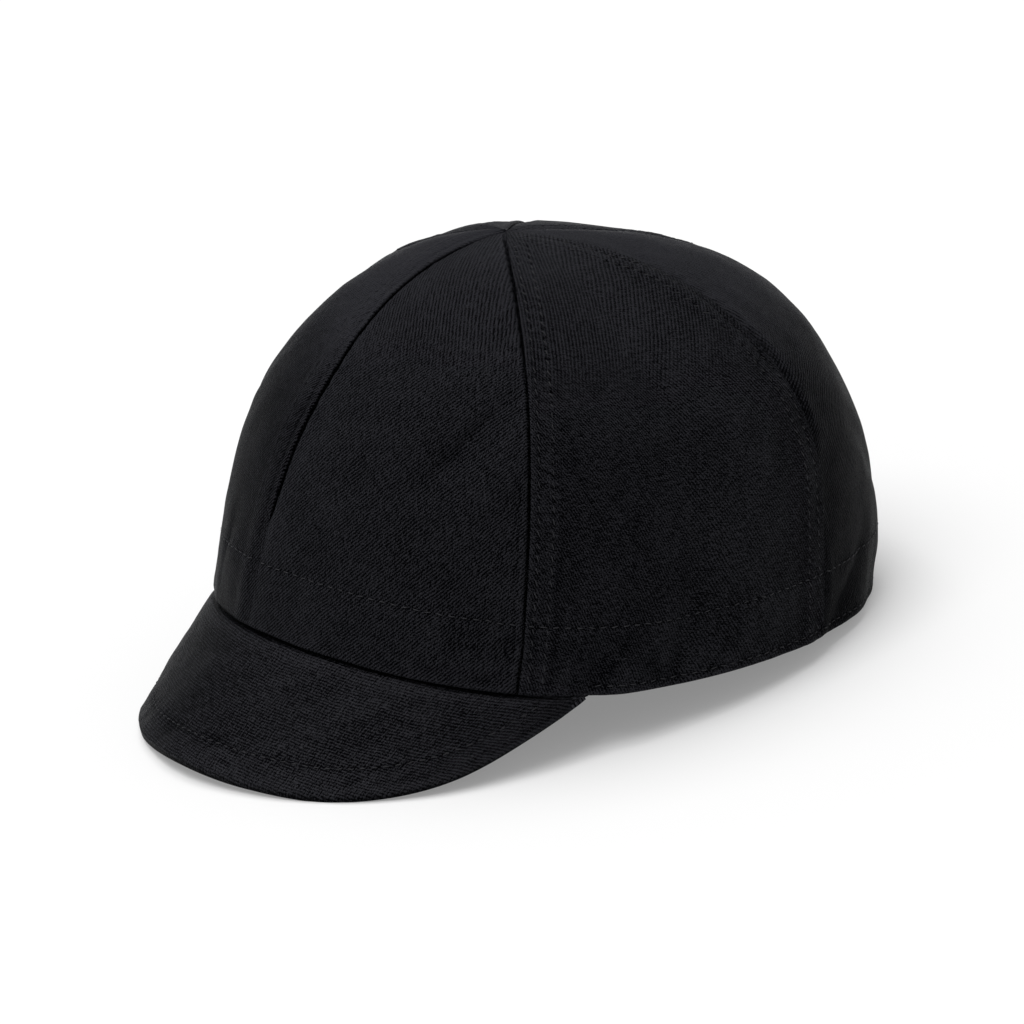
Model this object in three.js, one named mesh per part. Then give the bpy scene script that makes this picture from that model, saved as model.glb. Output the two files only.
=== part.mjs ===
// A six-panel welder's cap of black cotton twill with a short drooping brim. It lies on a
// table on the edge of its brim and on the back of its hem, as it does when it is put down.
// Millimetres, +Z up. The wearer would look along -Y, and +X is the wearer's left.
// The crown is worked out above a flat hem and then leaned back until it rests.
import * as THREE from 'three';

// Hem: an oval in a flat plane, 589 mm round, which arches up at the front over the brim
const HEM_HALF_WIDTH = 85;
const HEM_FRONT = 87.6;
const HEM_BACK = 116;
const HEM_FRONT_RISE = 11;

// Crown: its height over the hem, and how its outline rounds over to the top
const CROWN_HEIGHT = 113.8;
const FULLNESS = 2.71;
const ROUNDNESS = 2.0;
const ROUNDNESS_AT_FRONT = -0.33;
const BELLY = -0.013;
const BELLY_AT_FRONT = 0.057;
const BACKWARD_LEAN = 8.7;

// Cloth and sewing
const CLOTH = 1.5;
const GAP = 0.3;
const LAP_WIDTH = 8;
const LAP_SLOPE = 1.5;
const LAP_RISE = 0.6;
const LAP_MOST_SHARE = 0.2;
const PANEL_FLATNESS = 1.2;
const TIP_RADIUS = 1.5;

// Seams, counted from the front round by the wearer's left. hemAngle and wander are degrees:
// where the seam meets the hem, and how far it strays sideways at half height.
// lap says which panel is doubled and raised beside the seam: 1 the next one, -1 the last one.
const SEAMS = [
  { hemAngle: 0, wander: 3.4, lap: -1 },
  { hemAngle: 60, wander: -2.1, lap: 1 },
  { hemAngle: 121, wander: 1.9, lap: -1 },
  { hemAngle: 180, wander: 0, lap: 1 },
  { hemAngle: 239, wander: -1.9, lap: 1 },
  { hemAngle: 300, wander: 2.1, lap: -1 },
];
const PANELS = [
  'panel_front_left',
  'panel_left',
  'panel_back_left',
  'panel_back_right',
  'panel_right',
  'panel_front_right',
];

// Dents and folds of the limp cloth: the middle by its angle in degrees and its height over the
// hem, half the length and half the width of the hollow, its depth, and its tilt in degrees
// from level, where a positive tilt climbs towards the back. A negative depth is a swelling.
const FOLDS = [
  { name: 'front left crease', angle: 46, height: 67, length: 16, width: 5, depth: 1.6, tilt: 43 },
  { name: 'swelling below it', angle: 50, height: 57, length: 16, width: 7, depth: -0.9, tilt: 43 },
  { name: 'dent low by the seam', angle: 53.5, height: 15, length: 12, width: 6, depth: 1.8, tilt: -38 },
  { name: 'upright fold by the brim', angle: 74, height: 7, length: 10, width: 4, depth: 1.6, tilt: 88 },
  { name: 'low hollow on the left', angle: 92, height: 13, length: 11, width: 9, depth: 1.4, tilt: 20 },
  { name: 'high hollow on the left', angle: 98, height: 60, length: 24, width: 14, depth: 1.2, tilt: -30 },
  { name: 'wrinkle by the back seam', angle: 129, height: 8, length: 11, width: 4, depth: 1.2, tilt: 50 },
  { name: 'hollow at the back', angle: 192, height: 30, length: 30, width: 13, depth: 1.8, tilt: 12 },
  { name: 'wrinkle on the right', angle: 262, height: 22, length: 22, width: 8, depth: 1.6, tilt: -35 },
  { name: 'front right crease', angle: 322, height: 45, length: 20, width: 8, depth: 1.4, tilt: -48 },
];
const FOLD_RADIUS = 85;

// Brim: a row for each section from its middle to its end. share is of the half brim, length
// is measured down the cloth, and slope is degrees below the hem's plane.
const BRIM_HALF_ANGLE = 72.8;
const BRIM_SWEEP = 40;
const BRIM_END_SHARE = 0.96;
const BRIM_CLOTH = 1.3;
const BRIM_SECTIONS = [
  { share: 0, length: 43, slope: 52 },
  { share: 0.25, length: 42, slope: 54.5 },
  { share: 0.5, length: 37.4, slope: 56 },
  { share: 0.75, length: 23.6, slope: 55.5 },
  { share: 0.9, length: 10.4, slope: 52.5 },
  { share: 1, length: 0.5, slope: 50 },
];
const BRIM_FLAT_EDGE = 1;

// Facing inside the hem, whose two ends meet at the back
const BAND_CLOTH = 1;
const BAND_GAP = 0.5;
const BAND_LOW = 1.5;
const BAND_HIGH = 20;
const BAND_END_GAP = 0.4;

// How far the limp cloth is pressed flat where it touches the table
const REST_PRESS = 1.2;

// Mesh sizes
const PANEL_COLUMNS = 12;
const PANEL_ROWS = 17;
const BRIM_COLUMNS = 26;
const BRIM_ROWS = 6;
const BAND_COLUMNS = 72;
const BAND_ROWS = 3;

const FULL_TURN = 360;
const HALF_TURN = 180;
const radians = THREE.MathUtils.degToRad;

function form(angle) {
  const forward = Math.cos(radians(angle));
  return {
    reach: forward > 0 ? HEM_FRONT : HEM_BACK,
    roundness: ROUNDNESS + ROUNDNESS_AT_FRONT * forward,
    belly: BELLY + BELLY_AT_FRONT * forward,
    rise: HEM_FRONT_RISE * Math.max(forward, 0) ** 2,
  };
}

// Share of the crown's height at a climb of 0, the hem, to 1, the tip beside the top point
function heightShare(angle, climb) {
  const { reach, roundness } = form(angle);
  const tip = (1 - (TIP_RADIUS / reach) ** roundness) ** (1 / FULLNESS);
  return Math.sin(Math.max(climb, 0) * Math.asin(tip));
}

function seamAngle(index, share) {
  const seam = SEAMS[index % SEAMS.length];
  const turns = Math.floor(index / SEAMS.length);
  return seam.hemAngle + turns * FULL_TURN + 4 * seam.wander * share * (1 - share);
}

// How far between its two seams an angle lies, 0 at one and 1 at the next
function acrossPanel(angle, share) {
  const front = seamAngle(0, share);
  const fromFront = front + THREE.MathUtils.euclideanModulo(angle - front, FULL_TURN);
  let index = 0;
  while (fromFront >= seamAngle(index + 1, share)) {
    index += 1;
  }
  const start = seamAngle(index, share);
  return (fromFront - start) / (seamAngle(index + 1, share) - start);
}

// How deep the folds and the flatness of the panels draw the cloth in
function drawnIn(angle, share) {
  const height = share * CROWN_HEIGHT;
  const between = Math.sin(Math.PI * acrossPanel(angle, share)) ** 2;
  let depth = PANEL_FLATNESS * between * Math.sqrt(1 - share);
  for (const fold of FOLDS) {
    const turn = THREE.MathUtils.euclideanModulo(angle - fold.angle + HALF_TURN, FULL_TURN) - HALF_TURN;
    const across = radians(turn) * FOLD_RADIUS;
    const up = height - fold.height;
    const tilt = radians(fold.tilt);
    const along = across * Math.cos(tilt) + up * Math.sin(tilt);
    const aside = up * Math.cos(tilt) - across * Math.sin(tilt);
    depth += fold.depth * Math.exp(-((along / fold.length) ** 2) - (aside / fold.width) ** 2);
  }
  return depth;
}

// Outer face of the crown above its flat hem, by angle in degrees and climb
function crownFace(angle, climb) {
  const share = heightShare(angle, climb);
  const { reach, roundness, belly, rise } = form(angle);
  const bulge = 1 + 4 * belly * share * (1 - share);
  const spread = (1 - share ** FULLNESS) ** (1 / roundness) * bulge;
  const drawn = 1 - drawnIn(angle, share) / HEM_HALF_WIDTH;
  return new THREE.Vector3(
    HEM_HALF_WIDTH * Math.sin(radians(angle)) * spread * drawn,
    -reach * Math.cos(radians(angle)) * spread * drawn + 4 * BACKWARD_LEAN * share * (1 - share),
    CROWN_HEIGHT * share + rise * (1 - share),
  );
}

// Value of a named column of the brim's table, smooth from end to end
const brimRows = [
  ...BRIM_SECTIONS.slice(1).reverse().map((row) => ({ ...row, share: -row.share })),
  ...BRIM_SECTIONS,
];
function brimColumn(column) {
  const shares = brimRows.map((row) => row.share);
  const values = brimRows.map((row) => row[column]);
  const curve = new THREE.CubicInterpolant(shares, values, 1);
  return (share) => curve.evaluate(share)[0];
}
const brimLength = brimColumn('length');
const brimSlope = brimColumn('slope');

// Upper face of the brim, by share of the half brim and by climb from its edge, 0, to the hem, 1
function brimFace(share, climb) {
  const angle = share * BRIM_HALF_ANGLE;
  const hem = crownFace(angle, 0);
  const sideways = Math.sin(radians(angle)) / HEM_HALF_WIDTH;
  const forward = Math.cos(radians(angle)) / HEM_FRONT;
  const heading = Math.atan2(sideways, forward) - radians(BRIM_SWEEP) * share;
  const slope = radians(brimSlope(share));
  const out = (1 - climb) * brimLength(share);
  return new THREE.Vector3(
    hem.x + out * Math.sin(heading) * Math.cos(slope),
    hem.y - out * Math.cos(heading) * Math.cos(slope),
    hem.z - GAP - out * Math.sin(slope),
  );
}

// A point straight in from a face, which keeps the wall equally thick on its curves
const TINY_STEP = 1e-4;
function inside(face, a, b, depth) {
  const alongA = face(a + TINY_STEP, b).sub(face(a - TINY_STEP, b));
  const alongB = face(a, b + TINY_STEP).sub(face(a, b - TINY_STEP));
  const outward = alongA.cross(alongB).normalize();
  return face(a, b).addScaledVector(outward, -depth);
}

// The cap leans back on the line from the back of its hem to the lowest point of its brim
const brimDepth = 2 * BRIM_CLOTH + GAP;
function restingLean() {
  const back = crownFace(HALF_TURN, 0);
  const leans = [];
  for (let i = 0; i <= BRIM_COLUMNS; i += 1) {
    const share = BRIM_END_SHARE * (2 * i / BRIM_COLUMNS - 1);
    const edge = inside(brimFace, share, 0, brimDepth);
    leans.push(Math.atan2(back.z - edge.z, back.y - edge.y));
  }
  return Math.max(...leans);
}
const lean = restingLean();
const tableHeight = -crownFace(HALF_TURN, 0).y * Math.sin(lean) + REST_PRESS;

function rest(point) {
  const leaned = point.applyAxisAngle(new THREE.Vector3(1, 0, 0), -lean);
  leaned.z = Math.max(leaned.z - tableHeight, 0);
  return leaned;
}

// A wall starts as a thin box of columns and rows, and each of its points is laid in place:
// place takes a column, a row and whether the point is on the outer face
function wall(name, columns, rows, colour, place) {
  const geometry = new THREE.BoxGeometry(1, 1, 1, columns, rows, 1);
  geometry.deleteAttribute('uv');
  const points = geometry.getAttribute('position');
  for (let i = 0; i < points.count; i += 1) {
    const column = Math.round((points.getX(i) + 0.5) * columns);
    const row = Math.round((points.getY(i) + 0.5) * rows);
    const outer = points.getZ(i) > 0;
    const placed = rest(place(column, row, outer));
    points.setXYZ(i, placed.x, placed.y, placed.z);
  }
  geometry.computeVertexNormals();
  const material = new THREE.MeshStandardMaterial({ color: colour, roughness: 0.92, metalness: 0 });
  const mesh = new THREE.Mesh(geometry, material);
  mesh.name = name;
  return mesh;
}

// Shares of a panel's width at which its columns stand: the seam gap, the lap and its slope at
// each side, and even steps between them
function panelShares(width) {
  const gap = GAP / 2 / width;
  const lap = Math.min(LAP_WIDTH / width, LAP_MOST_SHARE);
  const slope = lap * (1 + LAP_SLOPE / LAP_WIDTH);
  const shares = [gap, lap];
  const evenColumns = PANEL_COLUMNS - 2 * shares.length;
  for (let i = 0; i <= evenColumns; i += 1) {
    shares.push(THREE.MathUtils.lerp(slope, 1 - slope, i / evenColumns));
  }
  return [...shares, 1 - lap, 1 - gap];
}

function panel(index) {
  const start = SEAMS[index];
  const end = SEAMS[(index + 1) % SEAMS.length];
  return wall(PANELS[index], PANEL_COLUMNS, PANEL_ROWS, 0x1c1c1e, (column, row, outer) => {
    const climb = row / PANEL_ROWS;
    const share = heightShare(seamAngle(index, 0), climb);
    const from = seamAngle(index, share);
    const to = seamAngle(index + 1, share);
    const width = crownFace(from, climb).distanceTo(crownFace(to, climb));
    const angle = THREE.MathUtils.lerp(from, to, panelShares(width)[column]);
    const onStartLap = column <= 1 && start.lap > 0;
    const onEndLap = column >= PANEL_COLUMNS - 1 && end.lap < 0;
    const raised = onStartLap || onEndLap ? LAP_RISE : 0;
    return inside(crownFace, angle, climb, outer ? -raised : CLOTH);
  });
}

// One layer of the brim, whose outer face lies at a depth under the brim's upper face
function brimLayer(name, depth) {
  return wall(name, BRIM_COLUMNS, BRIM_ROWS, 0x1a1a1c, (column, row, outer) => {
    const share = BRIM_END_SHARE * (2 * column / BRIM_COLUMNS - 1);
    const edgeShare = Math.min(BRIM_FLAT_EDGE / brimLength(share), 1 / BRIM_ROWS);
    const climb = row === 0 ? 0 : THREE.MathUtils.lerp(edgeShare, 1, (row - 1) / (BRIM_ROWS - 1));
    return inside(brimFace, share, climb, outer ? depth : depth + BRIM_CLOTH);
  });
}

function innerBand() {
  const endAngle = HALF_TURN - THREE.MathUtils.radToDeg(BAND_END_GAP / HEM_HALF_WIDTH);
  return wall('inner_band', BAND_COLUMNS, BAND_ROWS, 0x161618, (column, row, outer) => {
    const angle = endAngle * (2 * column / BAND_COLUMNS - 1);
    const height = THREE.MathUtils.lerp(BAND_LOW, BAND_HIGH, row / BAND_ROWS);
    const climb = Math.asin(height / CROWN_HEIGHT) / (Math.PI / 2);
    return inside(crownFace, angle, climb, CLOTH + BAND_GAP + (outer ? 0 : BAND_CLOTH));
  });
}

const cap = new THREE.Group();
for (let index = 0; index < PANELS.length; index += 1) {
  cap.add(panel(index));
}
cap.add(brimLayer('brim_upper_cover', 0));
cap.add(brimLayer('brim_under_cover', BRIM_CLOTH + GAP));
cap.add(innerBand());

// The origin is on the table, under the middle of the cap's length
const box = new THREE.Box3().setFromObject(cap);
cap.position.y = -(box.min.y + box.max.y) / 2;

export default cap;
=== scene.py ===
# %% [markdown]
# # A black twill welding cap
# The real cap is six gores of heavy black cotton twill, sewn together with lapped seams, a facing
# inside the hem and a short limp brim of two layers. It is light and soft, so its whole look
# comes from three things: the dents of the limp cloth, the sewn lines that pull it into small
# puckers, and the twill ribs with their faint grey sheen. This lesson builds those three on top
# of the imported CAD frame, cloth piece by cloth piece.

import math

import bmesh
import bpy
import numpy as np
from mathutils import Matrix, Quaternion, Vector


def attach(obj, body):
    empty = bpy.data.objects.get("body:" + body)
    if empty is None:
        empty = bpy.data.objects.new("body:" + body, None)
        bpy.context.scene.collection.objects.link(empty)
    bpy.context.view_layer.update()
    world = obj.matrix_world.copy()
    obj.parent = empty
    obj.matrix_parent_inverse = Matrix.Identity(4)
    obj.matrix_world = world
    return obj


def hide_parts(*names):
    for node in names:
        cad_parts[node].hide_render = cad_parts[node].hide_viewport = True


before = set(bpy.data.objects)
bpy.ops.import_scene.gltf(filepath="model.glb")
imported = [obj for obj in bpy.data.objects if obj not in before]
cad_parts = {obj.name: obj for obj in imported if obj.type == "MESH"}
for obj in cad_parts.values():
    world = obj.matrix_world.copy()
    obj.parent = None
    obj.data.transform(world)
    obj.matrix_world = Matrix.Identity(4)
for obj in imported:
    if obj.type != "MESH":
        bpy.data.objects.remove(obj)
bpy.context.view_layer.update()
MM = 0.001

# %% [markdown]
# ## Camera
# The cap was photographed from its front left, a little above it, with a long lens: the hem's
# oval and the six seams gave that place. The photo holds the hem level, while a cap that lies on
# its brim and on the back of its hem leans back by 7 degrees, so the camera leans with it.

# %% Camera
# its place in metres, the way it looks, its roll in degrees, and its lens and sensor in mm
CAMERA_PLACE = (1.0486, -0.6065, 0.4863)
CAMERA_LOOK = (-0.8117, 0.4726, -0.3432)
CAMERA_ROLL = -7.11
CAMERA_LENS = 155.9
CAMERA_SENSOR = 36
CAMERA_SIGHT = 100

camera_data = bpy.data.cameras.new("camera")
camera_data.lens = CAMERA_LENS
camera_data.sensor_width = CAMERA_SENSOR
camera_data.clip_end = CAMERA_SIGHT
camera = bpy.data.objects.new("camera", camera_data)
camera.rotation_mode = "QUATERNION"
camera.location = CAMERA_PLACE
turn = Quaternion((0, 0, 1), math.radians(CAMERA_ROLL))
camera.rotation_quaternion = Vector(CAMERA_LOOK).to_track_quat("-Z", "Y") @ turn
bpy.context.scene.collection.objects.link(camera)
bpy.context.scene.camera = camera
print("camera stands", round(Vector(CAMERA_PLACE).length, 2), "m from the cap")

# %% [markdown]
# ## Colours and nodes
# Colours are written as a paint chart would give them, in sRGB hex, while Blender counts light,
# so one function turns them linear. Another one adds a node together with its links, which keeps
# each material as short as its description.


# %% Two helpers
def linear(hex_colour):
    """Turns an sRGB hex colour such as '1c1c1e' into Blender's linear RGBA."""
    channels = [int(hex_colour[i : i + 2], 16) / 255 for i in (0, 2, 4)]
    return [c / 12.92 if c <= 0.04045 else ((c + 0.055) / 1.055) ** 2.4 for c in channels] + [1]


def add(tree, kind, inputs=(), **settings):
    """Adds a node. An input given as another node's output is linked, any other value is set."""
    made = tree.nodes.new(kind)
    for name, value in settings.items():
        setattr(made, name, value)
    for socket, value in dict(inputs).items():
        if isinstance(value, bpy.types.NodeSocket):
            tree.links.new(value, made.inputs[socket])
        else:
            made.inputs[socket].default_value = value
    return made


print("a mid grey of 808080 is", round(linear("808080")[0], 3), "in linear light")

# %% [markdown]
# ## Soft light
# A product photo of black cloth on white needs a lot of soft light: a big box high in front that
# favours the front panels, a second one overhead and a little behind, which leaves the shadow on
# the camera's side, and even light all round, which the nap of the cloth mirrors as a light rim
# along its outline.

# %% Softboxes and the light all round
WORLD_STRENGTH = 0.41
AIM = Vector((0, 0, 0.05))
SOFTBOXES = [
    # name, azimuth and elevation in degrees as the camera's are counted, distance and size in
    # metres, power in watts
    ("front_box", 22, 66, 4.0, 2.6, 92),
    ("top_box", -105, 74, 4.0, 2.8, 84),
]


def softbox(name, azimuth, elevation, distance, size, power):
    """A square area light that looks at the cap."""
    a, e = math.radians(azimuth), math.radians(elevation)
    back = Vector((math.sin(a) * math.cos(e), -math.cos(a) * math.cos(e), math.sin(e)))
    data = bpy.data.lights.new(name, "AREA")
    data.size = size
    data.energy = power
    light = bpy.data.objects.new(name, data)
    light.location = AIM + back * distance
    light.rotation_euler = (-back).to_track_quat("-Z", "Y").to_euler()
    bpy.context.scene.collection.objects.link(light)


for row in SOFTBOXES:
    softbox(*row)

world = bpy.data.worlds.new("studio")
world.use_nodes = True
world.node_tree.nodes["Background"].inputs["Color"].default_value = (1, 1, 1, 1)
world.node_tree.nodes["Background"].inputs["Strength"].default_value = WORLD_STRENGTH
bpy.context.scene.world = world
bpy.context.scene.view_settings.view_transform = "Standard"
print("softboxes:", [row[0] for row in SOFTBOXES])

# %% [markdown]
# ## Floor
# The floor is an opal acrylic sheet with a painted glow of its own, so it reads as plain white
# out to the picture's edge. The glow is painted a little weaker under the cap than further out,
# a painted shadow that keeps the cap's shadow soft and thin but visible.

# %% Floor
# size and reach in metres, and its painted glow under the cap, weaker there as painted shadow, and
# from the reach outwards
FLOOR_SIZE = 16
FLOOR_WHITE = "cbcbcb"
FLOOR_PAINTED_GLOW = (0.24, 0.298)
GLOW_REACH = 1.1

floor_mesh = bmesh.new()
bmesh.ops.create_grid(floor_mesh, x_segments=1, y_segments=1, size=FLOOR_SIZE / 2)
floor_data = bpy.data.meshes.new("floor")
floor_mesh.to_mesh(floor_data)
floor_mesh.free()
floor = bpy.data.objects.new("floor", floor_data)
bpy.context.scene.collection.objects.link(floor)

# cast with a matt face, so it shows no mirror image of the cap, only its shadow
opal = bpy.data.materials.new("opal acrylic sheet, matt, with painted glow and shadow")
opal.use_nodes = True
opal_shader = opal.node_tree.nodes["Principled BSDF"]
opal_shader.inputs["Base Color"].default_value = linear(FLOOR_WHITE)
opal_shader.inputs["Roughness"].default_value = 1
opal_shader.inputs["Specular IOR Level"].default_value = 0
opal_shader.inputs["Emission Color"].default_value = (1, 1, 1, 1)
# painted glow: the floor's emission, weaker near the cap as a painted shadow
place = add(opal.node_tree, "ShaderNodeTexCoord").outputs["Object"]
far = add(opal.node_tree, "ShaderNodeVectorMath", {0: place}, operation="LENGTH").outputs["Value"]
limits = {"From Max": GLOW_REACH, "To Min": FLOOR_PAINTED_GLOW[0], "To Max": FLOOR_PAINTED_GLOW[1]}
painted_glow = add(opal.node_tree, "ShaderNodeMapRange", {"Value": far, **limits}).outputs["Result"]
opal.node_tree.links.new(painted_glow, opal_shader.inputs["Emission Strength"])
floor_data.materials.append(opal)
print("floor:", FLOOR_SIZE, "m square")

# %% [markdown]
# ## The form of the crown
# The crown is one smooth dome, and the cloth pieces are cut from it at the seams. These are the
# CAD part's own named sizes, so that every sheet lies where its solid lies: an oval hem, an
# outline that rounds over to the top, seams that wander a little, and a table of soft dents.
# An angle is counted from the front round by the wearer's left, in degrees. The fine creases and
# the fuller places are too slight for the CAD part, so only this lesson has them.

# %% Sizes of the crown
# in mm, apart from the exponents FULLNESS and ROUNDNESS and the shares BELLY
HEM_HALF_WIDTH = 85
HEM_FRONT = 87.6
HEM_BACK = 116
HEM_FRONT_RISE = 11
CROWN_HEIGHT = 113.8
FULLNESS = 2.71
ROUNDNESS = 2.0
ROUNDNESS_AT_FRONT = -0.33
BELLY = -0.013
BELLY_AT_FRONT = 0.057
BACKWARD_LEAN = 8.7
PANEL_FLATNESS = 0.3
TIP_RADIUS = 0.15
print("hem is", 2 * HEM_HALF_WIDTH, "by", round(HEM_FRONT + HEM_BACK), "mm")

# %% Tables of the crown
SEAMS = [
    # angle at the hem, its strays at a quarter, half and three quarters of the height, and which
    # panel is doubled over it, 1 the next one and -1 the last one
    (0, (1.6, 3.1, 4.0), -1),
    (60, (-1.8, -2.2, -1.4), 1),
    (121, (-1.3, 0.6, 0.2), -1),
    (180, (0, 0, 0), 1),
    (239, (-1.4, -1.9, -1.4), 1),
    (300, (1.6, 2.1, 1.6), -1),
]
SEWING = [
    # for the same seams, in mm: how high the doubled cloth rises, how deep the groove beside it
    # is, how far the stitches are sunk, below which height the seam is pressed flat, how much it
    # puckers, as a share, and below which height its two rows sink into the cloth
    (0.45, 1.9, 0.34, 35, 0.4, 35),
    (0.5, 2.4, -0.07, -20, 1.2, 34),
    (0.5, 0.5, 0.0, 300, 1.2, 48),
    (0.3, 0.5, 0.1, -20, 1.0, -20),
    (0.5, 0.9, 0.1, -20, 1.0, -20),
    (0.3, 0.3, 0.1, -20, 1.0, -20),
]
FOLDS = [
    # angle, height, half length, half width and depth in mm, tilt from level
    (46, 67, 16, 5, 1.6, 43),
    (50, 57, 16, 7, -0.9, 43),
    (53.5, 15, 12, 6, 1.8, -38),
    (74, 7, 10, 4, 1.6, 88),
    (92, 13, 11, 9, 1.4, 20),
    (98, 60, 24, 14, 1.2, -30),
    (129, 8, 11, 4, 1.2, 50),
    (192, 30, 30, 13, 1.8, 12),
    (262, 22, 22, 8, 1.6, -35),
    (322, 45, 20, 8, 1.4, -48),
]
FINE_FOLDS = [
    # the same columns, for creases too fine for the CAD part
    (45, 68.5, 15, 1.8, 1.3, 43),
    (40, 60, 12, 2.2, 0.6, 38),
    (55, 14, 9, 1.6, 0.7, -42),
    (51, 9, 7, 1.4, 0.4, -30),
    (73, 8, 9, 1.1, 0.6, 88),
    (76.5, 8, 10, 1.2, -0.35, 88),
    (92, 33, 18, 2.4, 0.6, 86),
    (89, 36, 16, 1.6, -0.35, 86),
    (85, 62, 18, 3, 0.45, 35),
    (111, 40, 16, 2.6, 0.4, 70),
    (126, 5, 8, 1.3, 0.2, 52),
    (131, 12, 9, 1.6, 0.15, 46),
    (134, 16, 14, 3, 0.2, 80),
    (139, 14, 12, 2.4, -0.15, 84),
    (144, 12, 13, 3, 0.25, 84),
    (148, 40, 22, 4, 0.6, -50),
    (171, 18, 15, 3, 0.6, 30),
    (205, 60, 20, 4, 0.6, 60),
    (225, 20, 14, 3, 0.6, -25),
    (270, 50, 22, 3.5, 0.6, 40),
    (285, 14, 12, 2.4, 0.6, -60),
    (330, 70, 16, 3, 0.5, 55),
    (345, 20, 12, 2, 0.45, 75),
    (12, 22, 14, 3, 0.4, 60),
    (24, 84, 16, 4, 0.4, -40),
]
SWELLS = [
    # the same columns with a lift instead of a depth, where a panel stands fuller than the dome
    (150, 25, 42, 28, 1.8, 90),
    (150, 7, 9, 20, -0.4, 90),
    (156, 67, 16, 20, -1.6, 90),
    (158, 92, 22, 26, 1.1, 90),
    (174, 99, 26, 8, 1.1, 0),
    (183, 100, 45, 16, -1.5, 0),
    (195, 108, 40, 12, -0.8, 0),
    (268, 111, 20, 4, 0.7, 0),
    (333, 70, 48, 26, 0.95, 90),
    (315, 104, 26, 16, 0.7, 0),
    (315, 90, 12, 12, -0.8, 90),
]
print(len(SEAMS), "seams,", len(FOLDS), "dents from the CAD part,", len(FINE_FOLDS), "fine ones")


# %% Seams and dents
def curve(xs, ys, x):
    """A smooth curve through a table's points."""
    xs, ys = np.array(xs, float), np.array(ys, float)
    slopes = np.gradient(ys, xs)
    i = np.clip(np.searchsorted(xs, x, side="right") - 1, 0, len(xs) - 2)
    span = xs[i + 1] - xs[i]
    t = (x - xs[i]) / span
    rise, fall = slopes[i] * span, slopes[i + 1] * span
    gain = ys[i + 1] - ys[i]
    return ys[i] + t * rise + t**2 * (3 * gain - 2 * rise - fall) + t**3 * (rise + fall - 2 * gain)


def seam_angle(index, share):
    """Angle of a seam at a share of the crown's height."""
    angle, strays = SEAMS[index % len(SEAMS)][:2]
    stray = curve([0, 0.25, 0.5, 0.75, 1], [0, *strays, 0], share)
    return angle + 360 * (index // len(SEAMS)) + stray


def across_panel(angle, share):
    """How far between its two seams an angle lies, 0 at one and 1 at the next."""
    front = seam_angle(0, share)
    turned = front + np.mod(angle - front, 360)
    across = np.zeros_like(turned)
    for index in range(len(SEAMS)):
        low, high = seam_angle(index, share), seam_angle(index + 1, share)
        across = np.where((turned >= low) & (turned < high), (turned - low) / (high - low), across)
    return across


def hollows(angle, share, rows):
    """Summed depth of a table's hollows at each point."""
    depth = 0 * angle * share
    for at, height, length, width, deep, tilt in rows:
        across = np.radians(np.mod(angle - at + 180, 360) - 180) * HEM_HALF_WIDTH
        up = share * CROWN_HEIGHT - height
        c, s = math.cos(math.radians(tilt)), math.sin(math.radians(tilt))
        lengthwise, aside = across * c + up * s, up * c - across * s
        depth = depth + deep * np.exp(-((lengthwise / length) ** 2) - (aside / width) ** 2)
    return depth


def drawn_in(angle, share):
    """Depth of the dents, and of the flatness between the seams."""
    flat = np.sin(np.pi * across_panel(angle, share)) ** 2
    depth = PANEL_FLATNESS * flat * np.sqrt(np.maximum(1 - share, 0))
    return depth + hollows(angle, share, FOLDS + FINE_FOLDS)


print("dents are up to", max(row[4] for row in FOLDS), "mm deep")


# %% The dome
def crown_face(angle, climb):
    """Points of the crown's outer face above its flat hem, in mm. climb is 0 at the hem and 1 at
    the top."""
    turn, forward = np.radians(angle), np.cos(np.radians(angle))
    reach = np.where(forward > 0, HEM_FRONT, HEM_BACK)
    roundness = ROUNDNESS + ROUNDNESS_AT_FRONT * forward
    tip = (1 - (TIP_RADIUS / reach) ** roundness) ** (1 / FULLNESS)
    share = np.sin(np.maximum(climb, 0) * np.arcsin(tip))
    bulge = 1 + 4 * (BELLY + BELLY_AT_FRONT * forward) * share * (1 - share)
    spread = (1 - share**FULLNESS) ** (1 / roundness) * bulge
    spread = spread * (1 - drawn_in(angle, share) / HEM_HALF_WIDTH)
    rise = HEM_FRONT_RISE * np.maximum(forward, 0) ** 2
    x = HEM_HALF_WIDTH * np.sin(turn) * spread
    y = -reach * forward * spread + 4 * BACKWARD_LEAN * share * (1 - share)
    return np.stack([x, y, CROWN_HEIGHT * share + rise * (1 - share)], -1)


def outward(face, a, b):
    """Unit normals of a face, from the way it runs on either side of each point."""
    step = 1e-4
    across = face(a + step, b) - face(a - step, b)
    upward = face(a, b + step) - face(a, b - step)
    normal = np.cross(across, upward)
    return normal / np.linalg.norm(normal, axis=-1, keepdims=True)


tip = crown_face(np.array([0.0]), np.array([1.0]))[0]
print("the top is", round(float(tip[2]), 1), "mm over the flat hem")

# %% [markdown]
# ## Laying the cap on the floor
# The cap leans back until the back of its hem and the edge of its brim touch the floor. Where
# the limp cloth touches, it is pressed flat, so no point may lie under the floor.

# %% Lean and rest
# the lean that the CAD part has, and how far in mm it lowers and shifts the cap
LEAN = math.radians(7.216)
FLOOR_BELOW_HEM = -13.368
CENTRE_SHIFT = -0.906


def rest(points):
    """Leans points back, sets them on the floor and flattens what would be under it."""
    c, s = math.cos(LEAN), math.sin(LEAN)
    x, y, z = points[..., 0], points[..., 1], points[..., 2]
    lowered = np.maximum(-y * s + z * c - FLOOR_BELOW_HEM, 0)
    return np.stack([x, y * c + z * s + CENTRE_SHIFT, lowered], -1)


print("lean:", round(math.degrees(LEAN), 1), "degrees")
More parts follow.
